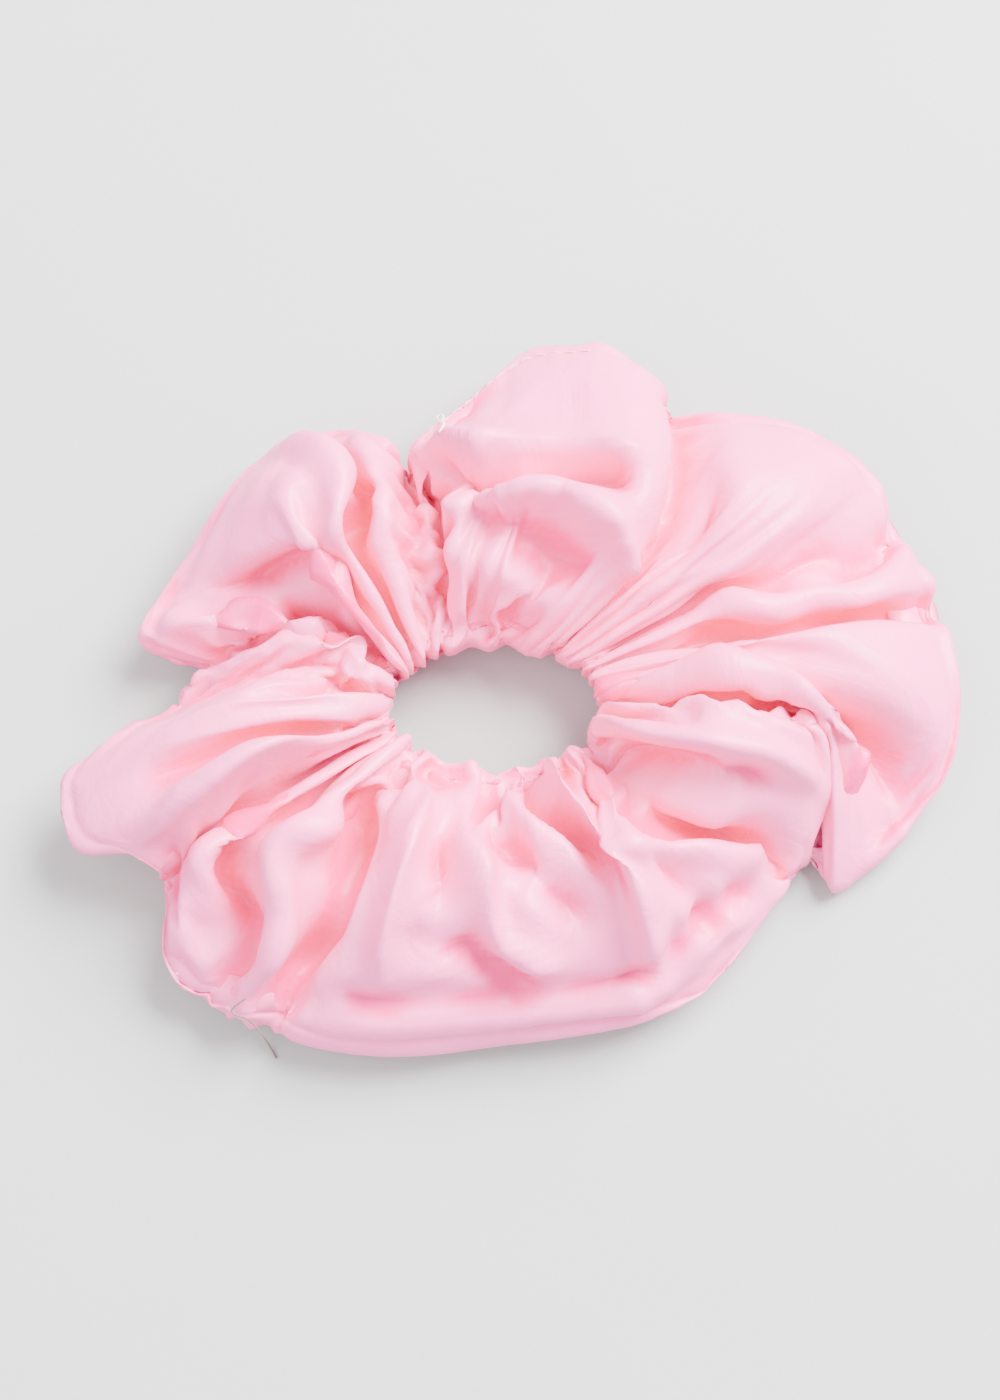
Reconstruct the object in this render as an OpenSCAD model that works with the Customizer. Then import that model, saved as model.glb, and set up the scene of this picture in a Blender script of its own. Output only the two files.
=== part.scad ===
// Oversized satin scrunchie: a sewn satin tube gathered on a loop of flat elastic, lying flat.
// The origin is the centre of the opening, on the plane that the scrunchie lies on.
// +X runs along the long side of the opening, which is the way it is pulled open, and +Z is up.

/* [Opening] */
// Length of the oval opening along X, between the gathered inner edges
opening_l = 41; // [34:1:50]
// Width of the oval opening along Y
opening_w = 25; // [20:1:32]

/* [Cover] */
// Reach of the sewn satin tube, from its inner gathers to its outer rim
tube_w = 68; // [56:1:82]
// Height of the tallest puff above the resting plane
puff_h = 38; // [31:1:46]
// Thickness of the gathered satin wall
cover_wall = 1; // [0.8:0.05:1.4]
// Width of the seam allowance that stands inward from the outer rim, inside the tube
allowance_w = 6; // [4:0.5:8]
// Thickness of the two layers of the seam allowance
allowance_t = 0.8; // [0.5:0.1:1.2]

/* [Elastic] */
// Width of the flat elastic, which stands upright inside the inner edge
elastic_w = 6; // [4:0.5:8]
// Thickness of the elastic
elastic_t = 1; // [0.6:0.1:1.4]
// Length over which the two ends of the elastic lie on each other
elastic_lap = 12; // [8:1:18]
// Clear space between the inner wall of the cover and the nearest corner of the elastic
elastic_clearance = 0.3; // [0.2:0.05:2]
// Height of the middle of the elastic above the resting plane
elastic_z = 11; // [9:0.5:13]

/* [Thread] */
// Diameter of the sewing thread
thread_d = 0.4; // [0.3:0.05:0.6]
// Distance from the start of one stitch to the start of the next
stitch_pitch = 3; // [2.5:0.1:4]
// Distance of the closing topstitch from the folded edge of the tube
topstitch_inset = 3; // [2:0.25:4]

/* [Stretch] */
// Place along X where the left and right halves of the cover part when the elastic stretches
split_x = 14; // [10:1:16]
// Gap between the two halves of the cover at rest
split_gap = 0.3; // [0.2:0.05:0.5]

/* [Hidden] */

SATIN = "#f7cfdf";
ELASTIC = "#f4f1ee";
PINK_THREAD = "#f3b9cc";
WHITE_THREAD = "#fbfafa";
BROWN_THREAD = "#8a6f66";

// Puffs and the creases between them, counter-clockwise from +X:
// [angle, reach as a share of tube_w, height as a share of puff_h]
PUFFS = [
    [0, 1.00, 0.80], [25, 1.00, 0.74], [39, 0.97, 0.72], [54, 0.86, 0.74], [67, 0.87, 0.95],
    [84, 0.85, 1.00], [93, 0.71, 0.90], [108, 0.55, 0.66], [127, 0.78, 0.86], [150, 0.73, 0.84],
    [168, 0.73, 0.74], [176, 0.54, 0.66], [188, 0.92, 0.66], [198, 0.96, 0.64], [209, 0.74, 0.66],
    [220, 0.94, 0.74], [240, 0.85, 0.80], [259, 0.77, 0.78], [278, 0.74, 0.76], [297, 0.76, 0.78],
    [315, 0.75, 0.86], [331, 0.72, 0.92], [344, 0.91, 0.90], [352, 0.97, 0.86], [360, 1.00, 0.80]];

// How far the round underside would reach below the plane if it didn't lie flat on it
underside_sag = 3;
// Exponent that squares off the tube's oval section; 1 is an ellipse
squareness = 0.8;
ring_steps = 90;
section_steps = 20;
ring_step = 360 / ring_steps;
reach_limit = 2 * (opening_l + tube_w);

// The closing seam runs over the top of the cover between these two angles
closing_from = 86;
closing_to = 107;
// The long seam's stitches are spaced at equal angles, which gives the pitch at the rim's mean radius
mean_reach = 0.84;
rim_r = (opening_l + opening_w) / 4 + tube_w * mean_reach;
long_seam_step = stitch_pitch / rim_r * 180 / PI;
elastic_join_angle = 105;
// Share of the pitch that the thread shows for
stitch_share = 0.8;

// A table column at an angle, eased between its rows
function row_before(a) = max([for (i = [0:len(PUFFS) - 2]) if (PUFFS[i][0] <= a) i]);
function eased(a, column) =
    let (w = a - 360 * floor(a / 360), i = row_before(w), p = PUFFS[i], q = PUFFS[i + 1],
         t = (w - p[0]) / (q[0] - p[0]))
    p[column] + (q[column] - p[column]) * (1 - cos(180 * t)) / 2;

// Distance from the origin to an oval of half sizes m and n, in direction a
function oval_r(a, m, n) = m * n / sqrt(pow(n * cos(a), 2) + pow(m * sin(a), 2));
function inner_r(a) = oval_r(a, opening_l / 2, opening_w / 2);
function outer_r(a) = inner_r(a) + tube_w * eased(a, 1);
function top_z(a) = puff_h * eased(a, 2);
function middle_z(a) = (top_z(a) - underside_sag) / 2;
function at(a, r, z) = [r * cos(a), r * sin(a), z];
function signed_power(x, p) = sign(x) * pow(abs(x), p);

// Height of the tube's middle line at angle a, at a share of the way from the elastic out to the rim
function line_z(a, share) = elastic_z + (middle_z(a) - elastic_z) * share;

// Height of the cover's upper surface at angle a and radius r
function surface_z(a, r) =
    let (share = (r - inner_r(a)) / (outer_r(a) - inner_r(a)), low = line_z(a, share))
    low + (top_z(a) - low) * pow(sqrt(1 - pow(abs(2 * share - 1), 2 / squareness)), squareness);

// Cross-section of the tube at angle a, drawn in by inset all round
function section(a, inset) =
    let (half_r = (outer_r(a) - inner_r(a)) / 2, mid_r = inner_r(a) + half_r)
    [for (k = [0:section_steps - 1])
        let (f = 360 * k / section_steps, out = signed_power(cos(f), squareness),
             up = signed_power(sin(f), squareness), z = line_z(a, (1 + out) / 2),
             room = (up > 0 ? top_z(a) - z : z + underside_sag) - inset)
        at(a, mid_r + (half_r - inset) * out, z + room * up)];

// Cross-section of the cavity at angle a. The seam allowance stands into it from the outer wall
function cavity_section(a) =
    let (inside = section(a, cover_wall), wall_r = outer_r(a) - cover_wall,
         edge_r = wall_r - allowance_w, mid = middle_z(a), half_t = allowance_t / 2)
    [at(a, wall_r, mid + half_t), each [for (k = [1:section_steps - 1]) inside[k]],
     at(a, wall_r, mid - half_t), at(a, edge_r, mid - half_t), at(a, edge_r, mid + half_t)];

// A closed ring or an open tube whose skin joins one loop of points to the next
module skin(loops, closed) {
    n = len(loops[0]);
    m = len(loops);
    last = closed ? m - 1 : m - 2;
    sides = [for (i = [0:last]) for (k = [0:n - 1])
        let (a = i * n + k, b = i * n + (k + 1) % n,
             c = (i + 1) % m * n + (k + 1) % n, d = (i + 1) % m * n + k)
        each [[a, b, c], [a, c, d]]];
    ends = closed ? [] : [[for (k = [n - 1:-1:0]) k], [for (k = [0:n - 1]) (m - 1) * n + k]];
    polyhedron(points = [for (loop = loops) each loop], faces = concat(sides, ends));
}

module above(z) {
    translate([-reach_limit / 2, -reach_limit / 2, z])
        cube([reach_limit, reach_limit, 2 * puff_h]);
}

// The hollow gathered tube with its flat underside and the seam allowance inside its rim
module cover() {
    ring_angles = [for (i = [0:ring_steps - 1]) i * ring_step];
    difference() {
        intersection() {
            skin([for (a = ring_angles) section(a, 0)], closed = true);
            above(0);
        }
        intersection() {
            skin([for (a = ring_angles) cavity_section(a)], closed = true);
            above(cover_wall);
        }
    }
}

module cover_half(from_x) {
    intersection() {
        cover();
        translate([from_x, -reach_limit / 2, -puff_h])
            cube([reach_limit, reach_limit, 4 * puff_h]);
    }
}

module cover_left() {
    color(SATIN) cover_half(split_x - split_gap / 2 - reach_limit);
}

module cover_right() {
    color(SATIN) cover_half(split_x + split_gap / 2);
}

// The first facet of the wall leans away from the opening above and below the elastic's middle. It
// leans most where the tube is lowest, and the elastic stands back so that its corners stay clear
facet = 360 / section_steps;
lowest_puff = puff_h * min([for (p = PUFFS) p[2]]);
facet_room = min(lowest_puff - elastic_z, elastic_z + underside_sag) - cover_wall;
facet_lean = (tube_w / 2 - cover_wall) * (1 - pow(cos(facet), squareness));
facet_rise = facet_room * pow(sin(facet), squareness);
elastic_out = cover_wall + elastic_clearance + elastic_w / 2 * facet_lean / facet_rise;

// Oval that the elastic follows, at a distance outward from its inner face
function elastic_point(a, out) =
    let (off = elastic_out + out)
    [(opening_l / 2 + off) * cos(a), (opening_w / 2 + off) * sin(a)];
elastic_mean_r = (opening_l + opening_w) / 4 + elastic_out;
lap_angle = elastic_lap / elastic_mean_r * 180 / PI;
lap_gap = 0.05;

// The elastic's last stretch steps outward to lie on its first
function lap_step(a) =
    let (t = min(1, max(0, (a - elastic_join_angle - 360 + 2 * lap_angle) / lap_angle)))
    (elastic_t + lap_gap) * (1 - cos(180 * t)) / 2;

module elastic_band() {
    first = elastic_join_angle;
    turn = 360 + lap_angle;
    steps = 96;
    angles = [for (i = [0:steps]) first - lap_angle / 2 + turn * i / steps];
    inside = [for (a = angles) elastic_point(a, lap_step(a))];
    outside = [for (i = [steps:-1:0]) elastic_point(angles[i], lap_step(angles[i]) + elastic_t)];
    color(ELASTIC)
        translate([0, 0, elastic_z - elastic_w / 2])
            linear_extrude(elastic_w) polygon(concat(inside, outside));
}

// A straight piece of thread from p to q
module thread_bar(p, q) {
    d = q - p;
    translate(p)
        rotate([0, acos(d[2] / norm(d)), atan2(d[1], d[0])])
            cylinder(d = thread_d, h = norm(d), $fn = 8);
}

// Zigzag thread on both faces of the lapped elastic, tied through it at every turn
module elastic_join_stitches() {
    zigzags = 6;
    margin = 1;
    low = elastic_z - elastic_w / 2 + margin;
    high = elastic_z + elastic_w / 2 - margin;
    stitched_share = 0.7;
    reach = lap_angle * stitched_share / 2;
    function turn_point(i, out) =
        let (a = elastic_join_angle + reach * (2 * i / zigzags - 1))
        [each elastic_point(a, out), i % 2 == 0 ? low : high];
    outer_face = 2 * elastic_t + lap_gap;
    color(WHITE_THREAD)
        for (i = [0:zigzags - 1]) {
            thread_bar(turn_point(i, outer_face), turn_point(i + 1, outer_face));
            thread_bar(turn_point(i, 0), turn_point(i + 1, 0));
            thread_bar(turn_point(i, 0), turn_point(i, outer_face));
        }
}

// Stitches of the long seam, on the seam allowance just inside the outer rim
module long_seam_stitches(low_x, high_x) {
    seam_inset = 1.5;
    function seam_point(a) =
        at(a, outer_r(a) - cover_wall - seam_inset, middle_z(a) + allowance_t / 2);
    for (a = [0:long_seam_step:360 - long_seam_step]) {
        p = seam_point(a);
        q = seam_point(a + long_seam_step * stitch_share);
        if (min(p[0], q[0]) > low_x && max(p[0], q[0]) < high_x) thread_bar(p, q);
    }
}

module long_seam_stitches_left() {
    color(PINK_THREAD) long_seam_stitches(-reach_limit, split_x - stitch_pitch / 2);
}

module long_seam_stitches_right() {
    color(PINK_THREAD) long_seam_stitches(split_x + stitch_pitch / 2, reach_limit);
}

// Topstitching through the folded end of the tube, along the edge where it closes on itself
function closing_point(a, inset) =
    let (r = outer_r(a) - inset)
    at(a, r, surface_z(a, r));

module closing_topstitch() {
    stitches = 9;
    step = (closing_to - closing_from) / stitches;
    color(PINK_THREAD)
        for (i = [0:stitches - 1]) {
            a = closing_from + i * step;
            thread_bar(closing_point(a, topstitch_inset),
                       closing_point(a + step * stitch_share, topstitch_inset));
        }
}

// A loose thread through a list of points, with eight sides
module loose_thread(points) {
    sides = 8;
    last = len(points) - 1;
    loops = [for (i = [0:last])
        let (d = points[min(i + 1, last)] - points[max(i - 1, 0)],
             along = d / norm(d),
             across = cross(along, [0.3, 0.2, 1]) / norm(cross(along, [0.3, 0.2, 1])),
             third = cross(along, across))
        [for (k = [0:sides - 1]) let (f = 360 * k / sides)
            points[i] + thread_d / 2 * (cos(f) * across + sin(f) * third)]];
    skin(loops, closed = false);
}

// The topstitch thread ends in a small loop and a short tail
module topstitch_thread_tail() {
    start = closing_point(closing_to - 4, topstitch_inset / 2);
    lift = thread_d / 2;
    color(WHITE_THREAD)
        loose_thread([for (p = [[0, 0, 0], [-1.2, 0.8, 1.4], [-0.4, 2.0, 2.2], [0.9, 1.4, 2.0],
                                [0.9, -0.2, 1.6], [0.4, -2.2, 1.8], [0.1, -4.4, 2.3]])
            start + p + [0, 0, lift]]);
}

// A loose seam thread hangs out of the rim and lies down on the plane
module seam_thread_tail() {
    a = 230;
    lift = thread_d;
    start = at(a, outer_r(a), middle_z(a));
    out = [cos(a), sin(a), 0];
    sideways = [-sin(a), cos(a), 0];
    color(BROWN_THREAD)
        loose_thread([
            start - 0.3 * out,
            start + 1.2 * out + [0, 0, 0.3],
            start + 2.6 * out + 1.0 * sideways - [0, 0, middle_z(a) * 0.25],
            start + 3.6 * out + 2.6 * sideways - [0, 0, middle_z(a) * 0.6],
            start + 4.2 * out + 4.4 * sideways - [0, 0, middle_z(a) - 1.2],
            start + 4.6 * out + 6.4 * sideways - [0, 0, middle_z(a) - lift],
            start + 4.8 * out + 8.6 * sideways - [0, 0, middle_z(a) - lift]]);
}

cover_left();
cover_right();
elastic_band();
elastic_join_stitches();
long_seam_stitches_left();
long_seam_stitches_right();
closing_topstitch();
topstitch_thread_tail();
seam_thread_tail();
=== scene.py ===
import math

import bpy
import numpy as np
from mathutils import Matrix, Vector


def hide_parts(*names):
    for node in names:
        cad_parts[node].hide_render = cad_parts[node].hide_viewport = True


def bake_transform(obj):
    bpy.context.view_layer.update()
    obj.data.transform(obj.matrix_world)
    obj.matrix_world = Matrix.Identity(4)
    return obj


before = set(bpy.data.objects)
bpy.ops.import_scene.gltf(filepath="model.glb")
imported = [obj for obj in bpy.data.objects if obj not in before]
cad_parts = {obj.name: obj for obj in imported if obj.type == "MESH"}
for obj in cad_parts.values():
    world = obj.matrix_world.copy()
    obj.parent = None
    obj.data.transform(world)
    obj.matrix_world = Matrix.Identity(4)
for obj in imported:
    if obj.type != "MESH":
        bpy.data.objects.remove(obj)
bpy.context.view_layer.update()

MM = 0.001

# ---------------------------------------------------------------- sizes, in millimetres
OPENING = (41.0, 25.0)          # length and width of the opening between the gathered edges
ELASTIC_Z = 11.0                # middle of the elastic above the plane
ELASTIC_W = 6.0                 # width of the elastic, which stands upright
ELASTIC_IN = 2.1                # distance from the gathered edge out to the elastic
ELASTIC_T = 1.0                 # thickness of the elastic
ELASTIC_CLEAR = 0.8             # least height of the cloth over the elastic's edges
ELASTIC_LAP = 12.0              # length over which the elastic's two ends lie on each other
ELASTIC_JOIN = 105.0            # angle of the middle of that lap
CUT_LENGTH = 590.0              # length of the satin before it is gathered
CUT_WIDTH = 152.0               # width of the satin between its two seam lines
CLOTH_T = 0.3                   # thickness of the satin
ALLOWANCE_W = 6.0               # width of the seam allowance inside the rim
THREAD_D = 0.4                  # diameter of the sewing thread
STITCH_PITCH = 3.0              # distance from one stitch to the next
TOPSTITCH_INSET = 3.0           # distance of the closing topstitch from the folded edge
RING_STEPS = 280                # steps of the draped net along the tube
SECTION_STEPS = 44              # steps of the draped net round the tube

# Fold lines of the cover, clockwise from the closing seam. Each row holds the angle at which the
# fold starts at the elastic, how far it stands up there, its middle point and its point on the rim.
# Ridges and the valleys between them take turns, as they do in gathered cloth.
FOLDS = [
    # the upper flap, which lies over the right-hand puff
    (115, 1, (-8, 34, 25), (-16, 49, 17)),
    (103, -1, (-2, 36, 29), (-5, 59, 15)),
    (92, 2, (6, 36, 31), (6, 71, 13)),
    (84, -1, (14, 36, 30), (14, 71, 15)),
    (74, 2, (23, 34, 34), (23, 70, 16)),
    (64, 1, (33, 33, 31), (31, 62, 15)),
    (59, -2, (29, 32, 13), (33, 59, 7)),
    # the right-hand puff and its two creases
    (54, 1, (40, 36, 24), (43, 58, 10)),
    (48, 1, (50, 34, 27), (60, 55, 10)),
    (42, 0, (52, 28, 24), (74, 45, 9)),
    (38, -2, (50, 23, 15), (77, 36, 7)),
    (34, 1, (54, 20, 22), (81, 31, 8)),
    (30, -2, (52, 16, 14), (84, 22, 6)),
    (26, 1, (56, 13, 24), (87, 12, 9)),
    (23, 1, (64, 7, 25), (88, 2, 9)),
    (20, 0, (68, 0, 20), (86, -10, 8)),
    (17, -2, (60, 1, 9), (78, -23, 5)),
    # the crescent fold and the lower right lobe on top of it
    (14, 2, (58, 10, 29), (64, -34, 5)),
    (10, -2, (55, 5, 18), (62, -27, 6)),
    (6, 2, (52, 6, 29), (70, -9, 17)),
    (0, -1, (48, 1, 18), (62, -9, 12)),
    (-6, 2, (40, 0, 31), (60, -3, 24)),
    (-14, 1, (41, -8, 34), (64, -14, 16)),
    (-24, 1, (38, -17, 29), (59, -28, 9)),
    (-33, -2, (29, -20, 15), (56, -31, 6)),
    # the broad bottom puff
    (-42, 2, (28, -26, 30), (54, -34, 9)),
    (-52, 1, (27, -34, 29), (40, -54, 9)),
    (-64, -1, (17, -33, 26), (25, -60, 9)),
    (-78, 2, (8, -35, 29), (11, -62, 9)),
    (-90, -1, (0, -35, 26), (-1, -63, 8)),
    (-104, 2, (-9, -36, 30), (-13, -65, 9)),
    (-118, 1, (-18, -36, 29), (-25, -65, 9)),
    # the lower left puff with its deep folds
    (-132, 2, (-25, -32, 31), (-35, -63, 9)),
    (-140, -2, (-28, -27, 14), (-41, -60, 7)),
    (-146, 2, (-38, -30, 29), (-48, -58, 9)),
    (-151, -2, (-46, -30, 11), (-53, -55, 7)),
    (-156, 1, (-52, -29, 25), (-61, -48, 9)),
    (-160, -2, (-48, -21, 11), (-60, -34, 6)),
    # the left-hand tongue, which lies over the lower left puff
    (-165, 2, (-42, -14, 32), (-65, -29, 16)),
    (-170, 0, (-46, -11, 27), (-79, -28, 14)),
    (-178, 1, (-46, -5, 27), (-82, -14, 14)),
    (175, 2, (-43, 1, 30), (-72, -8, 14)),
    (170, -2, (-41, 6, 14), (-60, 0, 7)),
    # the small curls above it
    (166, 2, (-31, 12, 27), (-57, 6, 10)),
    (161, -2, (-37, 14, 13), (-54, 10, 7)),
    # the upper left puff
    (157, 1, (-43, 17, 24), (-68, 13, 12)),
    (153, -2, (-38, 20, 15), (-64, 21, 10)),
    (149, 2, (-34, 26, 29), (-59, 29, 11)),
    (145, 1, (-39, 34, 31), (-50, 44, 11)),
    (141, 1, (-32, 38, 30), (-39, 53, 11)),
    (137, -1, (-28, 37, 18), (-30, 54, 9)),
    (133, 2, (-22, 34, 29), (-22, 52, 11)),
    (128, -2, (-15, 31, 12), (-17, 47, 8)),
    (123, 1, (-11, 29, 21), (-14, 44, 8)),
    (119, -2, (-9, 29, 11), (-13, 45, 6)),
]


# ---------------------------------------------------------------- mesh helpers
def new_mesh(name, points, faces):
    """A mesh object from an array of points in millimetres and a list of faces."""
    if isinstance(faces, np.ndarray):
        faces = faces.tolist()
    mesh = bpy.data.meshes.new(name)
    mesh.from_pydata((np.asarray(points) * MM).tolist(), [], faces)
    mesh.update()
    mesh.polygons.foreach_set("use_smooth", [True] * len(mesh.polygons))
    piece = bpy.data.objects.new(name, mesh)
    bpy.context.scene.collection.objects.link(piece)
    return piece


def torus_faces(rings, sides):
    """Four-sided faces of a grid that closes on itself both ways: each joins a point to the next
    along the ring and the next round the section."""
    i = np.arange(rings)[:, None]
    k = np.arange(sides)[None, :]
    near, far = i * sides, (i + 1) % rings * sides
    after = (k + 1) % sides
    return np.stack([near + k, far + k, far + after, near + after], axis=-1).reshape(-1, 4)


def open_tube_faces(rings, sides):
    """Four-sided faces of a grid that closes on itself round the section but is open at its ends."""
    return torus_faces(rings, sides)[:(rings - 1) * sides]


def capped_tubes(name, grids):
    """A mesh of closed tubes. The array holds, for each tube, its rings and each ring's points,
    which run clockwise seen along the tube; both end rings become flat caps."""
    tubes, rings, sides = grids.shape[:3]
    skin = open_tube_faces(rings, sides)
    cap = np.arange(sides)
    first = (np.arange(tubes) * rings * sides)[:, None]
    quads = (first[:, :, None] + skin).reshape(-1, 4).tolist()
    starts = (first + cap).tolist()
    ends = (first + (rings - 1) * sides + cap[::-1]).tolist()
    return new_mesh(name, grids.reshape(-1, 3), quads + starts + ends)


def thread_tubes(name, paths, thin_ends=0.5, sides=6):
    """Round threads along paths, an array of (thread, point, xyz): a circle of the thread's radius
    stands square to the path at each of its points, and is smaller at both ends."""
    along = np.gradient(paths, axis=1)
    along /= np.linalg.norm(along, axis=2, keepdims=True)
    across = np.cross(along, (0.3, 0.2, 1.0))
    across /= np.linalg.norm(across, axis=2, keepdims=True)
    third = np.cross(along, across)
    radius = np.full(paths.shape[1], THREAD_D / 2)
    radius[[0, -1]] *= thin_ends
    turn = -2 * np.pi * np.arange(sides) / sides
    rings = (np.cos(turn)[:, None] * across[:, :, None] + np.sin(turn)[:, None] * third[:, :, None])
    return capped_tubes(name, paths[:, :, None] + radius[None, :, None, None] * rings)


def periodic_curve(knots, values, at):
    """Smooth closed curve through values at knots from 0 to 1: cubic Hermite pieces whose slope at
    each knot is the slope between its two neighbours."""
    k = np.concatenate([[knots[-1] - 1], knots, [1, 1 + knots[1]]])
    v = np.concatenate([values[-1:], values, values[:2]])
    slope = (v[2:] - v[:-2]) / (k[2:] - k[:-2]).reshape(-1, *[1] * (v.ndim - 1))
    span = np.clip(np.searchsorted(knots, at, side="right") - 1, 0, len(knots) - 1)
    low, high = k[span + 1], k[span + 2]
    f = ((at - low) / (high - low)).reshape(-1, *[1] * (v.ndim - 1))
    width = (high - low).reshape(f.shape)
    return ((2 * f**3 - 3 * f**2 + 1) * v[span + 1] + (f**3 - 2 * f**2 + f) * width * slope[span]
            + (3 * f**2 - 2 * f**3) * v[span + 2] + (f**3 - f**2) * width * slope[span + 1])


def spline_weights(t, crispness=0.0):
    """Weights of the four control points round a place that lies a share t of the way from the
    second of them to the third: those of a uniform cubic B-spline, which rounds corners off, mixed
    by crispness with those of a Catmull-Rom spline, which goes through every point."""
    rounded = (1 - t)**3 / 6, (3 * t**3 - 6 * t**2 + 4) / 6, (3 * t + 3 * t**2 - 3 * t**3 + 1) / 6, t**3 / 6
    through = ((2 * t**2 - t - t**3) / 2, (3 * t**3 - 5 * t**2 + 2) / 2, (t + 4 * t**2 - 3 * t**3) / 2,
               (t**3 - t**2) / 2)
    return [(1 - crispness) * a + crispness * b for a, b in zip(rounded, through)]


def soft_path(points, count):
    """A smooth line of count points from the first of a few points to the last: a cubic B-spline
    whose end points count three times."""
    p = np.concatenate([points[:1], points[:1], points, points[-1:], points[-1:]])
    at = np.linspace(1, len(p) - 2.0001, count)
    i = at.astype(int)
    return sum(w[:, None] * p[i + a - 1] for a, w in enumerate(spline_weights(at - i)))


def square(half):
    """Corners of a flat square in the plane, counterclockwise from above."""
    return half * np.array([(-1, -1, 0), (1, -1, 0), (1, 1, 0), (-1, 1, 0)])


def unit(vectors):
    return vectors / np.linalg.norm(vectors, axis=-1, keepdims=True)


# ---------------------------------------------------------------- the satin cover
def fold_lines():
    """Control points of every fold line: its start at the elastic, its middle on top, its point on
    the rim, and its middle underneath, which lies on the plane or a little above it in a valley."""
    angle = np.radians([row[0] for row in FOLDS])
    stand = np.array([row[1] for row in FOLDS], float)
    middle = np.array([row[2] for row in FOLDS], float)
    rim = np.array([row[3] for row in FOLDS], float)
    half_l, half_w = OPENING[0] / 2, OPENING[1] / 2
    start = np.stack([(half_l - 0.6 * stand) * np.cos(angle), (half_w - 0.6 * stand) * np.sin(angle),
                      ELASTIC_Z + 0.8 * stand], axis=1)
    under = 0.4 * start + 0.6 * rim
    under[:, :2] = 0.6 * under[:, :2] + 0.4 * middle[:, :2]
    under[:, 2] = 2 + 0.15 * np.clip(24 - middle[:, 2], 0, 12)
    return np.stack([start, middle, rim, under], axis=1)


def fold_shares(lines):
    """Each fold line's place along the tube, from 0 to 1, spaced by how far its middle and its rim
    point lie from the next line's."""
    reach = np.linalg.norm(np.roll(lines, -1, axis=0) - lines, axis=2)[:, 1:3].mean(axis=1) + 2
    return np.concatenate([[0], np.cumsum(reach)[:-1]]) / reach.sum()


def draft_cover():
    """The tube as it is laid out: closed section curves through each fold line's four
    points, carried smoothly from fold line to fold line round the ring."""
    lines = fold_lines()
    controls = periodic_curve(fold_shares(lines), lines, np.arange(RING_STEPS) / RING_STEPS)
    around = np.arange(SECTION_STEPS) / SECTION_STEPS
    sections = periodic_curve(np.array([0, 0.25, 0.5, 0.75]), controls.transpose(1, 0, 2), around)
    grid = sections.transpose(1, 0, 2)
    # Next to the elastic the cloth clears its edges, above and below
    clear = ELASTIC_W / 2 + ELASTIC_CLEAR
    for side, level in ((range(2, 6), 1), (range(-5, -1), -1)):
        for k in side:
            grid[:, k, 2] = ELASTIC_Z + level * np.maximum(level * (grid[:, k, 2] - ELASTIC_Z), clear)
    # and the three points on the elastic's inner face stand straight above each other
    start = grid[:, 0].copy()
    for k in (-1, 0, 1):
        grid[:, k] = start + (0, 0, k * (ELASTIC_W / 2 + 0.3))
    return grid
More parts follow.
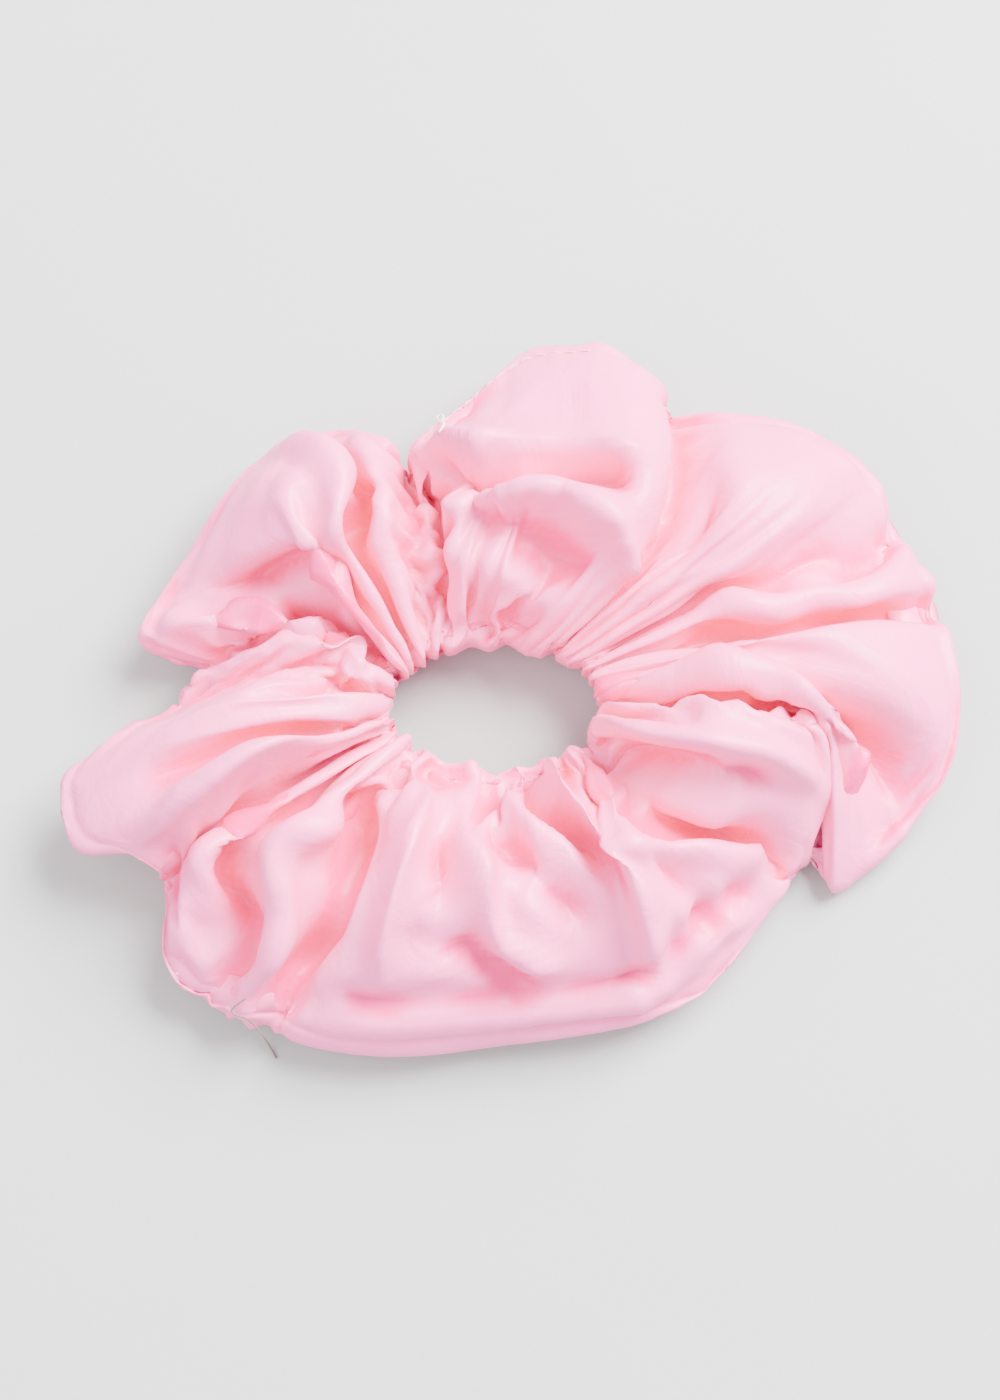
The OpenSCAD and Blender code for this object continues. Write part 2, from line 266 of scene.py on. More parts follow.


# Creases, listed one by one: (first fold, last fold, depth, width, points on the line seen from above)
CREASES = [
    # the upper flap: a deep valley under its folded corner, and folds that swing down from it
    (0, 5, 6.5, 3.2, [(-15, 45), (-10, 42), (0, 41), (10, 43), (19, 42), (27, 39)]),
    (0, 5, -3.0, 3.0, [(-12, 48), (-2, 46), (8, 48), (20, 47), (29, 42)]),
    (0, 5, -3.5, 3.0, [(0, 40), (13, 38), (24, 31), (28, 22)]),
    (0, 5, 4.0, 4.0, [(-9, 37), (-1, 32), (8, 27), (18, 20)]),
    # the right-hand puff
    (7, 16, 2.6, 2.4, [(78, 37), (73, 31), (60, 22), (45, 21), (34, 18)]),
    (7, 16, 3.6, 2.6, [(86, 20), (70, 19), (55, 15.5), (35, 13)]),
    (7, 16, -1.5, 3.0, [(84, 26), (70, 24), (52, 19), (38, 16)]),
    (7, 12, 3.0, 5.0, [(36, 48), (38, 38), (37, 28)]),
    # the crescent fold and the lobe on it
    (17, 20, -2.5, 2.6, [(26, 2), (45, 5), (58, 2), (74, -8)]),
    (17, 24, 3.6, 2.6, [(36, 2), (46, 1), (55, -1), (61, -3)]),
    (20, 24, 3.5, 2.6, [(13, -12), (24, -19), (35, -24), (46, -28)]),
    (20, 24, 3.0, 2.6, [(22, -9), (30, -13), (42, -17), (54, -17)]),
    (20, 24, -2.5, 3.0, [(20, -5), (34, -9), (48, -11), (63, -16)]),
    # the broad bottom puff
    (25, 32, -3.0, 2.8, [(-12, -17), (-16, -28), (-20, -42), (-22, -54)]),
    (25, 32, -2.5, 2.8, [(-6, -26), (-2, -38), (2, -46), (12, -52)]),
    (24, 32, -4.0, 2.8, [(9, -14), (14, -20), (25, -28), (28, -38), (31, -54)]),
    (23, 32, -3.0, 2.4, [(26, -29), (38, -30), (54, -32)]),
    (25, 32, 3.0, 3.2, [(0, -26), (8, -34), (18, -42)]),
    (24, 32, 3.5, 2.4, [(6, -13), (9, -20), (19, -28)]),
    (25, 32, 2.5, 2.8, [(-16, -46), (-4, -48), (6, -54)]),
    (24, 32, 2.5, 2.4, [(34, -33), (40, -41), (42, -46)]),
    (25, 32, 2.5, 2.6, [(-13, -26), (-9, -36), (-10, -42)]),
    # the step along the rim, where the upper layer overhangs the seam
    (24, 33, 2.6, 2.0, [(-40, -57), (-20, -58), (5, -55), (28, -53), (40, -43), (50, -33), (55, -30)]),
    # the lower left puff
    (32, 37, 4.5, 2.8, [(-46, -22), (-50, -32), (-48, -42), (-49, -54)]),
    (32, 37, 4.0, 2.6, [(-23, -15), (-27, -28), (-30, -40), (-38, -52)]),
    (32, 37, -3.0, 2.4, [(-30, -22), (-40, -30), (-40, -40), (-48, -54)]),
    # the left-hand tongue
    (38, 42, -2.8, 2.6, [(-64, -27), (-58, -21), (-50, -18), (-40, -13), (-30, -8)]),
    (38, 42, 3.0, 2.6, [(-27, -6), (-40, -8), (-52, -11), (-64, -15)]),
    # the curls and the upper left puff
    (43, 46, 3.5, 2.4, [(-58, 17), (-46, 18), (-36, 18), (-26, 17)]),
    (43, 46, 3.0, 2.2, [(-34, 11), (-30, 12), (-24, 13)]),
    (47, 53, -3.0, 2.6, [(-40, 50), (-35, 45), (-31, 39), (-31, 30)]),
    (47, 53, 4.0, 2.8, [(-32, 50), (-28, 43), (-27, 34), (-27, 26)]),
    (46, 52, 3.5, 2.6, [(-50, 21), (-40, 24), (-32, 25), (-26, 21)]),
]


def creased(draft):
    """The draft with each listed crease pressed in. Across a crease the profile is a valley with
    a low ridge on each side: (1 - q) exp(-q / 2), where q is the squared distance over the squared
    width. It fades towards both ends of the crease, and works only on top of the folds it names."""
    outward = unit(np.cross(np.roll(draft, -1, axis=0) - np.roll(draft, 1, axis=0),
                            np.roll(draft, -1, axis=1) - np.roll(draft, 1, axis=1)))
    share = np.arange(RING_STEPS)[:, None] / RING_STEPS
    knots = np.append(fold_shares(fold_lines()), 1.0)
    moved = draft.copy()
    for first, last, depth, width, line in CREASES:
        line = np.array(line, float)
        here = (share >= knots[first]) & (share <= knots[last]) & (outward[..., 2] > 0)
        nearest = np.full(here.shape, np.inf)
        place = np.zeros(here.shape)
        for j, (start, end) in enumerate(zip(line, line[1:])):
            run = end - start
            t = np.clip((draft[..., :2] - start) @ run / (run @ run), 0, 1)
            away = np.linalg.norm(draft[..., :2] - start - t[..., None] * run, axis=-1)
            place = np.where(away < nearest, (j + t) / (len(line) - 1), place)
            nearest = np.minimum(away, nearest)
        q = (nearest / width)**2
        fade = np.clip(6 * place * (1 - place) + 0.25, 0, 1)
        moved += np.where(here, -depth * fade * (1 - q) * np.exp(-q / 2), 0)[..., None] * outward
    return moved


def elastic_at(turn, out, height):
    """Places by the elastic: at an angle in radians round its oval, out from its inner face and up
    from its middle, both in millimetres."""
    reach = ELASTIC_IN + out
    x = (OPENING[0] / 2 + reach) * np.cos(turn)
    y = (OPENING[1] / 2 + reach) * np.sin(turn)
    return np.stack(np.broadcast_arrays(x, y, ELASTIC_Z + height), axis=-1)


def cut_tube(draft):
    """The satin as it is sewn before it is gathered: a straight tube of the cut's length, with the
    same grid as the draft. Where the draft's section is shorter than the cut's width, a share of the
    spare width is taken as tucked away in small pleats, and the tube is narrower by that."""
    section = np.linalg.norm(np.roll(draft, -1, axis=1) - draft, axis=2).sum(axis=1)
    near = range(-SECTION_BLUR, SECTION_BLUR + 1)
    section = np.mean([np.roll(section, shift) for shift in near], axis=0)
    width = np.append(section, section[0]) * TUCKED + CUT_WIDTH * (1 - TUCKED)
    along = np.arange(RING_STEPS + 1)[:, None] / RING_STEPS * CUT_LENGTH
    turn = np.arange(SECTION_STEPS)[None, :] / SECTION_STEPS * 2 * np.pi
    radius = width[:, None] / (2 * np.pi)
    return np.stack(np.broadcast_arrays(along, radius * np.cos(turn), radius * np.sin(turn)), axis=-1)


def add_obstacle(name, points, faces, thickness):
    """Something that the falling cloth can't pass through."""
    piece = new_mesh(name, points * SIM_SCALE / MM, faces)
    piece.modifiers.new("collision", "COLLISION")
    piece.collision.thickness_outer = thickness
    return piece


def hold_weights(draft, plain):
    """How firmly each point of the net is held: by its place round the section and along the tube,
    and more where the creased draft stands off the plain one. The rim, the band on the elastic and
    the closing seam are fixed."""
    hold = np.interp(np.arange(SECTION_STEPS) / SECTION_STEPS, *np.transpose(HOLD))[None, :]
    folds, factors = np.transpose(HOLD_ALONG)
    shares = fold_shares(fold_lines())[folds.astype(int)]
    hold = hold * np.interp(np.arange(RING_STEPS) / RING_STEPS, shares, factors)[:, None]
    pressed = np.linalg.norm(draft - plain, axis=2) / FIRM_CREASE
    hold = np.maximum(hold, np.minimum(pressed, 0.95)).round(2)
    hold[:, [-1, 0, 1, SECTION_STEPS // 2]] = 1
    hold = np.concatenate([hold, hold[:1]])
    hold[[0, -1]] = 1
    return hold


def drape(draft, plain):
    """The creased draft's net after the satin has found its own folds. A copy of the tube is open at
    the closing seam. Its edges want their cut lengths, its inner line is held on the elastic, and the
    rest is only lightly held in place, so the spare cloth buckles into folds and lies on the plane."""
    opened = np.concatenate([draft, draft[:1]])
    faces = open_tube_faces(RING_STEPS + 1, SECTION_STEPS)
    piece = new_mesh("drape", opened.reshape(-1, 3) * SIM_SCALE / MM, faces)
    piece.shape_key_add(name="Basis")
    cut = piece.shape_key_add(name="cut")
    cut.data.foreach_set("co", (cut_tube(draft) * SIM_SCALE).ravel())
    hold = hold_weights(draft, plain)
    group = piece.vertex_groups.new(name="held")
    for weight in np.unique(hold):
        group.add(np.flatnonzero(hold.ravel() == weight).tolist(), float(weight), "REPLACE")
    # The solver reads the rest shape only after a modifier that builds a mesh, so this one splits nothing
    unsplit = piece.modifiers.new("unsplit", "EDGE_SPLIT")
    unsplit.use_edge_angle = unsplit.use_edge_sharp = False
    cloth = piece.modifiers.new("cloth", "CLOTH")
    for name, value in SATIN_BEHAVIOUR.items():
        setattr(cloth.settings, name, value)
    cloth.settings.rest_shape_key = cut
    cloth.settings.vertex_group_mass = "held"
    cloth.collision_settings.use_self_collision = True
    cloth.collision_settings.self_distance_min = 0.006
    cloth.collision_settings.distance_min = 0.005
    cloth.point_cache.frame_start = 1
    cloth.point_cache.frame_end = SIM_FRAMES
    loop_steps, grow = 96, 0.2
    turn = -2 * np.pi * np.arange(loop_steps)[:, None] / loop_steps
    band = elastic_at(turn, np.array([-grow, ELASTIC_T + grow, ELASTIC_T + grow, -grow]),
                      np.array([-1, -1, 1, 1]) * (ELASTIC_W / 2 + grow))
    loop = add_obstacle("loop", band.reshape(-1, 3), torus_faces(loop_steps, 4), 0.003)
    ground = add_obstacle("ground", square(200), [[0, 1, 2, 3]], 0.005)
    for frame_number in range(1, SIM_FRAMES + 1):
        bpy.context.scene.frame_set(frame_number)
    finished = piece.evaluated_get(bpy.context.evaluated_depsgraph_get())
    flat = np.empty(len(piece.data.vertices) * 3)
    finished.data.vertices.foreach_get("co", flat)
    bpy.context.scene.frame_set(1)
    for helper in (piece, loop, ground):
        bpy.data.objects.remove(helper)
    return flat.reshape(RING_STEPS + 1, SECTION_STEPS, 3)[:-1] / SIM_SCALE


SIM_SCALE = 10 * MM             # the cloth solver works best on a model that is about a metre across
SIM_FRAMES = 24
TUCKED = 0.5                    # share of the spare width that is tucked away in pleats
SECTION_BLUR = 6                # steps each way over which the section's length is averaged
# How firmly the draft holds the cloth: (share of the way round the section, weight)
HOLD = [(0.05, 0.01), (0.12, 0.1), (0.2, 0.5), (0.3, 0.8), (0.5, 1.0), (0.62, 0.5), (0.75, 0.03),
        (0.9, 0.003)]
# and how that changes along the tube, where the right-hand puff keeps smoothest: (fold, factor)
HOLD_ALONG = [(0, 0.5), (6, 0.5), (8, 0.9), (15, 0.9), (17, 0.5), (54, 0.5)]
PRESSED_AGAIN = 0.7             # share of the creases that is pressed in again after the drape
FIRM_CREASE = 3.0               # a crease this deep, in millimetres, is held as firmly as can be
# A light, supple cloth that hardly stretches, at the solver's scale
SATIN_BEHAVIOUR = {
    "quality": 5, "mass": 0.1, "pin_stiffness": 20, "air_damping": 3,
    "tension_stiffness": 30, "compression_stiffness": 15, "shear_stiffness": 5, "bending_stiffness": 6,
    "tension_damping": 10, "compression_damping": 10, "shear_damping": 10,
}


# ---------------------------------------------------------------- the finished surface of the cloth
CRISPNESS = 0.5                 # how closely the finished cloth keeps to the net's points
FINE_RINGS = 560                # steps of the finished cloth along the tube
# Steps of the finished cloth round the tube, in millimetres from the seam line: close together
# beside the seam, where the cloth dips, and even all the way round from there
SEAM_LINES = [-2.2, -1.1, -0.5, 0.0, 0.5, 1.1, 2.2]
FINE_SIDES = 88
# The visible seam line's height above the rim, in millimetres: (share of the way along the tube,
# height). It begins as the closing topstitch, and then rolls under the right-hand puff
SEAM_RISE = [(0, TOPSTITCH_INSET), (0.06, TOPSTITCH_INSET), (0.1, 0), (0.2, -8), (0.42, -8), (0.5, 4),
             (0.72, 4), (0.8, -2), (0.93, -2), (1, TOPSTITCH_INSET)]
SEAM_DIP = 0.45                 # how deep the seam line lies in the cloth
SEAM_DIP_W = 0.8                # how far the dip reaches to each side
PUCKER_LENGTH = 7.0             # length of the small puckers that the seam's thread draws
PUCKER_DEPTH = 0.25             # how high and deep they are
HANDLING_CREASES = 200          # number of short creases from handling
CREASE_SEED = 11                # start of their random draws
CREASE_TURN = 0.6               # spread of their directions, in radians
CREASE_LENGTH = (6, 16)         # least and greatest reach each way along a crease
CREASE_WIDTH = (1.5, 4)         # least and greatest reach across it
CREASE_HEIGHT = 1.3             # greatest height of one, or depth
ELASTIC_SHADOW = 2.6            # reach, each way from the elastic's middle, of that lift
FULL_FOLD = 1.2                 # a fold this deep gets the full painted fold shade
FOLD_SPREAD = 60                # steps of the mean that a fold's depth is measured from


def cloth_at(net, along, around):
    """Points of the smooth surface that the closed net pulls into shape, at places given in steps of
    the net along the tube and round it: cubic splines both ways."""
    along, around = np.broadcast_arrays(along, around)
    i, k = np.floor(along).astype(int), np.floor(around).astype(int)
    points = np.zeros(along.shape + (3,))
    for a, ring_weight in enumerate(spline_weights(along - i, CRISPNESS)):
        for b, side_weight in enumerate(spline_weights(around - k, CRISPNESS)):
            near = net[(i + a - 1) % RING_STEPS, (k + b - 1) % SECTION_STEPS]
            points += (ring_weight * side_weight)[..., None] * near
    return points


def seam_line(along):
    """Where the visible seam runs, in steps round the tube, at places along it."""
    rise = np.interp(along / RING_STEPS % 1, *np.transpose(SEAM_RISE))
    return SECTION_STEPS / 2 - rise / CUT_WIDTH * SECTION_STEPS


def handling_creases():
    """Short sharp creases from handling, as rows of place along and across the cut, direction,
    length, width and height. Most run across the tube; ridges and valleys are equally likely."""
    draw = np.random.default_rng(CREASE_SEED)
    count = HANDLING_CREASES
    return np.stack([draw.uniform(0, CUT_LENGTH, count), draw.uniform(0, CUT_WIDTH, count),
                     np.pi / 2 + draw.normal(0, CREASE_TURN, count), draw.uniform(*CREASE_LENGTH, count),
                     draw.uniform(*CREASE_WIDTH, count), draw.uniform(-CREASE_HEIGHT, CREASE_HEIGHT, count)],
                    axis=1)


def handling_height(along, around):
    """How far the handling creases lift the cloth at places of the net: each is a tent with a sharp
    top across its line, and fades out towards its ends."""
    lift = np.zeros(np.broadcast(along, around).shape)
    for x, y, turn, length, width, height in handling_creases():
        dx = (along * CUT_LENGTH / RING_STEPS - x + CUT_LENGTH / 2) % CUT_LENGTH - CUT_LENGTH / 2
        dy = (around * CUT_WIDTH / SECTION_STEPS - y + CUT_WIDTH / 2) % CUT_WIDTH - CUT_WIDTH / 2
        run = dx * math.cos(turn) + dy * math.sin(turn)
        off = dy * math.cos(turn) - dx * math.sin(turn)
        lift += height * np.exp(-np.abs(off) / width - (run / length)**2)
    return lift


def off_elastic(points):
    """The points, with those over or under the elastic moved up or down until they clear it."""
    wide, deep = OPENING[0] / 2 + ELASTIC_IN + ELASTIC_T, OPENING[1] / 2 + ELASTIC_IN + ELASTIC_T
    turn = np.arctan2(points[..., 1] / deep, points[..., 0] / wide)
    across = unit(np.stack([np.cos(turn) / wide, np.sin(turn) / deep], axis=-1))
    off = np.sum((points - elastic_at(turn, ELASTIC_T, 0))[..., :2] * across, axis=-1)
    reach = (ELASTIC_W / 2 + ELASTIC_CLEAR) * np.clip(1 - (off / ELASTIC_SHADOW)**4, 0, 1)**0.25
    height = points[..., 2] - ELASTIC_Z
    points[..., 2] = ELASTIC_Z + np.where(height > 0, 1, -1) * np.maximum(np.abs(height), reach)
    return points


def finished_cloth(net, along, around):
    """Points of the finished cloth and the directions out of it: the smooth surface with the dip and
    the puckers along the seam line and the creases from handling, clear of the elastic and the plane."""
    step = 0.3
    outward = unit(np.cross(cloth_at(net, along + step, around) - cloth_at(net, along - step, around),
                            cloth_at(net, along, around + step) - cloth_at(net, along, around - step)))
    points = cloth_at(net, along, around)
    off = (around - seam_line(along) + SECTION_STEPS / 2) % SECTION_STEPS - SECTION_STEPS / 2
    off = off * CUT_WIDTH / SECTION_STEPS
    millimetres = along * CUT_LENGTH / RING_STEPS
    pucker = (np.sin(2 * np.pi * millimetres / 3.7) + np.sin(2 * np.pi * millimetres / 5.3 + 1)
              + np.sin(2 * np.pi * millimetres / 8.9 + 2)) / 3
    dip = SEAM_DIP * np.exp(-(off / SEAM_DIP_W)**2)
    dip = dip - PUCKER_DEPTH * pucker * np.exp(-np.abs(off) / PUCKER_LENGTH * 2)
    points = off_elastic(points + (handling_height(along, around) - dip)[..., None] * outward)
    points[..., 2] = np.maximum(points[..., 2], CLOTH_T)
    return points, outward


def fold_depths(points, outward):
    """How deep in a fold each point lies, the mask of the painted fold shade: 0 on open cloth and on
    ridges, 1 where it is FULL_FOLD or more below the mean of the cloth round it."""
    mean = points
    for _ in range(FOLD_SPREAD):
        mean = (np.roll(mean, 1, 0) + np.roll(mean, -1, 0) + np.roll(mean, 1, 1) + np.roll(mean, -1, 1)) / 4
    return np.clip(((mean - points) * outward).sum(axis=2) / FULL_FOLD, 0, 1)


def add_cover(net):
    """The cloth as one closed ring of small quads, with a map that measures the flat cut in metres,
    its folds' depth as the mask of the painted shade in the folds, and the satin's thickness added inwards."""
    along = np.arange(FINE_RINGS)[:, None] * RING_STEPS / FINE_RINGS
    spare = CUT_WIDTH - SEAM_LINES[-1] + SEAM_LINES[0]
    others = FINE_SIDES - len(SEAM_LINES)
    rest = SEAM_LINES[-1] + spare * np.arange(1, others + 1) / (others + 1)
    offsets = np.concatenate([SEAM_LINES, rest])[None, :] / CUT_WIDTH * SECTION_STEPS
    around = seam_line(along) + offsets
    points, outward = finished_cloth(net, along, around)
    cover = new_mesh("satin_cover", points.reshape(-1, 3), torus_faces(FINE_RINGS, FINE_SIDES))
    # How deep in a fold each point lies, kept on the mesh as the mask of the painted fold shade
    depths = fold_depths(points, outward).astype(np.float32)
    cover.data.attributes.new("fold_depth", "FLOAT", "POINT").data.foreach_set("value", depths.ravel())
    on_cut = np.broadcast_arrays(along * CUT_LENGTH / RING_STEPS, around * CUT_WIDTH / SECTION_STEPS)
    corners = np.stack(on_cut, axis=-1)
    last_row = corners[:1] + (CUT_LENGTH, 0)
    corners = np.concatenate([corners, last_row])
    corners = np.concatenate([corners, corners[:, :1] + (0, CUT_WIDTH)], axis=1)
    i, k = np.arange(FINE_RINGS)[:, None], np.arange(FINE_SIDES)[None, :]
    loops = np.stack([corners[i, k], corners[i + 1, k], corners[i + 1, k + 1], corners[i, k + 1]], axis=2)
    cover.data.uv_layers.new(name="cut").uv.foreach_set("vector", (loops * MM).astype(np.float32).ravel())
    wall = cover.modifiers.new("cloth thickness", "SOLIDIFY")
    wall.thickness = CLOTH_T * MM
    wall.offset = -1
    return cover


def seam_frame(net, along):
    """Places on the seam line, the directions from it into the tube, and the directions square to
    those and to the seam."""
    at = finished_cloth(net, along, seam_line(along))[0]
    run = finished_cloth(net, along + 0.5, seam_line(along + 0.5))[0] - at
    middle = np.mean([cloth_at(net, along, 0 * along + k) for k in range(0, SECTION_STEPS, 4)], axis=0)
    inward = unit(middle - at)
    return at, inward, unit(np.cross(run, inward))


def add_seam_allowance(net):
    """The seam allowance: two layers of satin that stand in from the seam line, as a flat ribbon
    along the whole tube. Its free edge waves gently."""
    along = np.arange(RING_STEPS) * 1.0
    at, inward, aside = (v[:, None] for v in seam_frame(net, along))
    depth = CLOTH_T + 0.2 + np.array([0, 0.5, 1, 1, 0.5, 0])[:, None] * ALLOWANCE_W
    side = np.array([1, 1, 1, -1, -1, -1])[:, None] * CLOTH_T
    share = 2 * np.pi * along / RING_STEPS
    wave = 0.5 * np.sin(9 * share) + 0.3 * np.sin(23 * share)
    points = at + depth * inward + (side + wave[:, None, None] * depth / ALLOWANCE_W) * aside
    return new_mesh("seam_allowance", points.reshape(-1, 3), torus_faces(RING_STEPS, 6))


def stitch_paths(starts, ends, outward, rise):
    """Short threads from starts to ends that come up out of the cloth, arch over it by rise and go
    down into it again."""
    share = np.array([0, 0.12, 0.35, 0.65, 0.88, 1])
    height = np.array([-0.35, 0.05, 1, 1, 0.05, -0.35]) * rise
    return (starts[:, None] + share[None, :, None] * (ends - starts)[:, None]
            + height[None, :, None] * outward[:, None])


def seam_places(net, first, last):
    """Places one stitch apart along the seam line between two shares of the tube, in steps."""
    along = np.linspace(first, last, 2000) * RING_STEPS
    run = finished_cloth(net, along, seam_line(along))[0]
    length = np.concatenate([[0], np.cumsum(np.linalg.norm(np.diff(run, axis=0), axis=1))])
    stitches = int(length[-1] / STITCH_PITCH)
    at = np.arange(stitches) * STITCH_PITCH
    shown = 0.8 * STITCH_PITCH
    return np.interp(at, length, along), np.interp(at + shown, length, along)


def add_closing_topstitch(net):
    """The row of stitches through the folded end of the tube, on top of the cloth."""
    starts, ends = seam_places(net, 0.002, 0.062)
    p, outward = finished_cloth(net, starts, seam_line(starts))
    q, _ = finished_cloth(net, ends, seam_line(ends))
    return thread_tubes("closing_topstitch_thread", stitch_paths(p, q, outward, THREAD_D / 2))


def add_long_seam_thread(net):
    """The stitches of the long seam, on the allowance just inside the seam line."""
    starts, ends = seam_places(net, 0.065, 0.998)
    (p, inward, aside), (q, far_inward, far_aside) = seam_frame(net, starts), seam_frame(net, ends)
    depth, face = CLOTH_T + 1.2, CLOTH_T + THREAD_D / 4
    return thread_tubes("long_seam_thread", stitch_paths(p + depth * inward + face * aside,
                                                         q + depth * far_inward + face * far_aside,
                                                         aside, THREAD_D / 3))


# ---------------------------------------------------------------- the elastic and its join
def lap_angle():
    """Half of the lap's angle round the elastic's oval, in radians."""
    return ELASTIC_LAP / ((OPENING[0] + OPENING[1]) / 4 + ELASTIC_IN) / 2


def add_elastic():
    """A band of flat braided elastic bent round an oval. Its section is a thin rectangle with round
    edges and a ripple for each rib of the braid, and its last stretch steps out to lie on its first."""
    ribs, side_steps = 7, 29
    rows = 240
    height = np.linspace(-1, 1, side_steps)
    thick = ELASTIC_T / 2 * (1 - np.abs(height)**8 * 0.7 - 0.07 * (1 + np.cos(np.pi * ribs * height)))
    outline_up = np.concatenate([height, height[::-1]]) * ELASTIC_W / 2
    outline_out = ELASTIC_T / 2 + np.concatenate([-thick, thick[::-1]])
    join, half_lap = math.radians(ELASTIC_JOIN), lap_angle()
    turn = join - half_lap + np.linspace(0, 2 * np.pi + 2 * half_lap, rows)[:, None]
    climb = np.clip((turn - (join + 2 * np.pi - 3 * half_lap)) / (1.8 * half_lap), 0, 1)
    step_out = (ELASTIC_T + 0.05) * (3 * climb**2 - 2 * climb**3)
    grid = elastic_at(turn, step_out + outline_out, outline_up)
    return capped_tubes("elastic_loop", grid[None])


def add_elastic_join():
    """A zigzag of thread on both faces of the lap, tied through it at every turn."""
    turns = 9
    i = np.arange(turns)
    angle = math.radians(ELASTIC_JOIN) + lap_angle() * 0.7 * np.linspace(-1, 1, turns)
    up = np.where(i % 2 == 0, -1, 1) * (ELASTIC_W / 2 - 1)
    outer = elastic_at(angle, 2 * ELASTIC_T + 0.1, up)
    inner = elastic_at(angle, -0.05, up)
    away = unit(outer - inner)
    zigzags = [stitch_paths(outer[:-1], outer[1:], away[:-1], THREAD_D / 2),
               stitch_paths(inner[:-1], inner[1:], -away[:-1], THREAD_D / 2),
               stitch_paths(inner, outer, away, 0)]
    return thread_tubes("elastic_join_thread", np.concatenate(zigzags))


# ---------------------------------------------------------------- the two loose threads
def height_at(cover_points, x, y):
    """How high the cloth stands at a place: its highest point within a millimetre and a half."""
    reach = 1.5
    near = np.hypot(cover_points[:, 0] - x, cover_points[:, 1] - y) < reach
    return cover_points[near, 2].max() if near.any() else 0.0


def add_loose_thread(name, cover_points, route):
    """A soft line through a route of (x, y, lift above the cloth or the plane)."""
    points = np.array([(x, y, height_at(cover_points, x, y) + lift) for x, y, lift in route])
    return thread_tubes(name, soft_path(points, 60)[None], thin_ends=0.7, sides=8)


WHITE_ROUTE = [(-9.5, 53.4, -0.3), (-10.6, 54.4, 0.6), (-11.4, 56.2, 1.2), (-10.2, 57.0, 1.4),
               (-9.6, 55.2, 1.0), (-10.2, 53.0, 0.8), (-9.2, 51.0, 0.7), (-10.4, 49.4, 0.5)]
BROWN_ROUTE = [(-46.0, -55.5, -0.3), (-47.5, -56.4, 0.5), (-49.2, -57.6, 0.8), (-47.6, -58.6, 0.7),
               (-46.0, -58.6, 0.5), (-44.2, -60.2, 0.4), (-42.6, -62.4, 0.3), (-41.2, -65.0, 0.3)]


# ---------------------------------------------------------------- materials
def colour(hex_value):
    """An sRGB hex value as linear RGBA."""
    channels = [int(hex_value[i:i + 2], 16) / 255 for i in (1, 3, 5)]
    return [c / 12.92 if c <= 0.04045 else ((c + 0.055) / 1.055)**2.4 for c in channels] + [1.0]


def add_node(material, kind, inputs, **settings):
    """A node with its settings, and with each input set to a value or linked to another's output."""
    node = material.node_tree.nodes.new(kind)
    for name, value in settings.items():
        setattr(node, name, value)
    for socket, value in inputs.items():
        if isinstance(value, bpy.types.NodeSocket):
            material.node_tree.links.new(value, node.inputs[socket])
        else:
            node.inputs[socket].default_value = value
    return node


def new_material(name, **shader):
    """A material whose Principled shader has the given inputs."""
    material = bpy.data.materials.new(name)
    material.use_nodes = True
    set_shader(material, {name.replace("_", " "): value for name, value in shader.items()})
    return material


def set_shader(material, inputs):
    surface = material.node_tree.nodes["Principled BSDF"]
    for socket, value in inputs.items():
        if isinstance(value, bpy.types.NodeSocket):
            material.node_tree.links.new(value, surface.inputs[socket])
        else:
            surface.inputs[socket].default_value = value


def pale_pink_polyester_satin():
    """Polyester satin, woven with long floats and lightly pressed: a soft, broad sheen, a painted shade
    of deeper pink in folds, where cloth lights cloth, faint slubs along the weft and fine handling creases."""
    satin = new_material("pale_pink_polyester_satin", Roughness=0.42, Sheen_Weight=0.1, Sheen_Roughness=0.3,
                         Sheen_Tint=colour("#ffe9f1"), IOR=1.48)
    cut = add_node(satin, "ShaderNodeUVMap", {}, uv_map="cut").outputs["UV"]
    tone = add_node(satin, "ShaderNodeTexNoise", {"Vector": cut, "Scale": 1 / 0.035, "Detail": 3.0})
    pinks = add_node(satin, "ShaderNodeMix", {"Factor": tone.outputs["Fac"], "A": colour(SATIN_PINK),
                                              "B": colour(SATIN_DEEP)}, data_type="RGBA")
    # Painted shade: deep in a fold the colour turns to a deeper pink, for the shade there and the pink light
    # that cloth throws on cloth
    depth = add_node(satin, "ShaderNodeAttribute", {}, attribute_name="fold_depth")
    folded = add_node(satin, "ShaderNodeMix", {"Factor": depth.outputs["Fac"], "A": pinks.outputs["Result"],
                                               "B": colour(FOLD_SHADE_PAINTED_PINK)}, data_type="RGBA")
    # Threads of real satin are 0.1 mm apart, too fine to show, so the weave is drawn at 0.5 mm
    thread_pitch = 0.5 * MM
    fine = add_node(satin, "ShaderNodeMapping", {"Vector": cut,
                                                 "Scale": (0.12 / thread_pitch, 1 / thread_pitch, 1)})
    slubs = add_node(satin, "ShaderNodeTexNoise", {"Vector": fine.outputs["Vector"], "Scale": 1.0,
                                                   "Detail": 2.0})
    weave = add_node(satin, "ShaderNodeBump", {"Height": slubs.outputs["Fac"], "Strength": 0.12,
                                               "Distance": 0.15 * MM})
    # Fine creases, 6 to 12 mm apart and a few tenths of a millimetre deep
    warped = add_node(satin, "ShaderNodeTexNoise", {"Vector": cut, "Scale": 1 / 0.011, "Detail": 4.0,
                                                    "Roughness": 0.55, "Distortion": 1.2})
    crumple = add_node(satin, "ShaderNodeBump", {"Height": warped.outputs["Fac"],
                                                 "Normal": weave.outputs["Normal"], "Strength": 0.45,
                                                 "Distance": 1.2 * MM})
    rough = add_node(satin, "ShaderNodeMapRange", {"Value": slubs.outputs["Fac"], "To Min": 0.36,
                                                   "To Max": 0.48})
    set_shader(satin, {"Base Color": folded.outputs["Result"], "Normal": crumple.outputs["Normal"],
                       "Roughness": rough.outputs["Result"]})
    return satin


